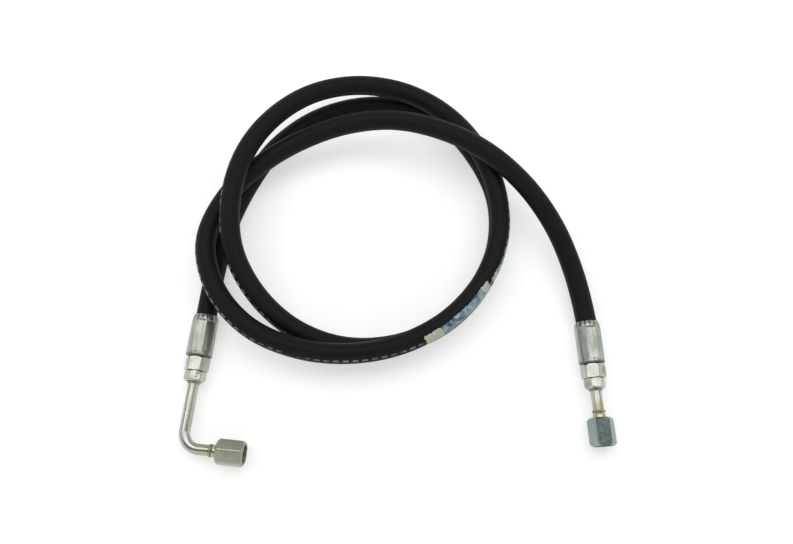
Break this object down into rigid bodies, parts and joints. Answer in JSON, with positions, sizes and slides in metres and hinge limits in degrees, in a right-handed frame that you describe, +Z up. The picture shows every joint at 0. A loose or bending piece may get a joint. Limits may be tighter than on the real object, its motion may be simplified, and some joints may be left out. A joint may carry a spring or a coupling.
{
  "type": "hydraulic hose assembly",
  "caption": "Rubber hydraulic hose in a loose coil, with a crimped straight fitting at one end and a crimped swept elbow at the other, both with swivel nuts.",
  "frame": {"origin": "on the floor, under the middle of the box around the metal fittings", "axes": "+Z up from the floor, +X from the elbow fitting to the straight one, +Y from the fittings towards the coil"},
  "size_m": [0.3099, 0.3023, 0.0473],
  "materials": {
    "cover_rubber": "matt black, faint cloth-wrap texture",
    "braid_wire": "brass-coated steel wire",
    "lining_rubber": "smooth black",
    "ferrule_plate": "zinc-plated, streaked lengthwise by the crimp",
    "fitting_plate": "bright zinc plate",
    "nut_plate": "satin grey-green zinc plate",
    "braze_metal": "dull golden braze under thin plate",
    "ring_rubber": "smooth black"
  },
  "bodies": {
    "root": {"hose_cover": "cover_rubber", "hose_wire_braid": "braid_wire", "hose_inner_tube": "lining_rubber", "elbow_ferrule": "ferrule_plate", "elbow_stem": "fitting_plate", "elbow_tube_collar": "fitting_plate", "elbow_collar_braze": "braze_metal", "elbow_tube": "fitting_plate", "elbow_nose_braze": "braze_metal", "elbow_nose_cone": "fitting_plate", "elbow_o_ring": "ring_rubber", "straight_ferrule": "ferrule_plate", "straight_stem": "fitting_plate", "straight_tube_collar": "fitting_plate", "straight_collar_braze": "braze_metal", "straight_tube": "fitting_plate", "straight_nose_braze": "braze_metal", "straight_nose_cone": "fitting_plate", "straight_o_ring": "ring_rubber"},
    "elbow_nut": {"elbow_swivel_nut": "nut_plate"},
    "straight_nut": {"straight_swivel_nut": "nut_plate"}
  },
  "joints": [
    {"name": "elbow_nut_turn", "type": "hinge", "parent": "root", "child": "elbow_nut", "pos_m": [-0.13127, -0.04361, 0.0094], "axis": [0.9947, -0.1028, 0], "continuous": true},
    {"name": "straight_nut_turn", "type": "hinge", "parent": "root", "child": "straight_nut", "pos_m": [0.14424, -0.0163, 0.0094], "axis": [0.0558, -0.9984, 0], "continuous": true}
  ]
}
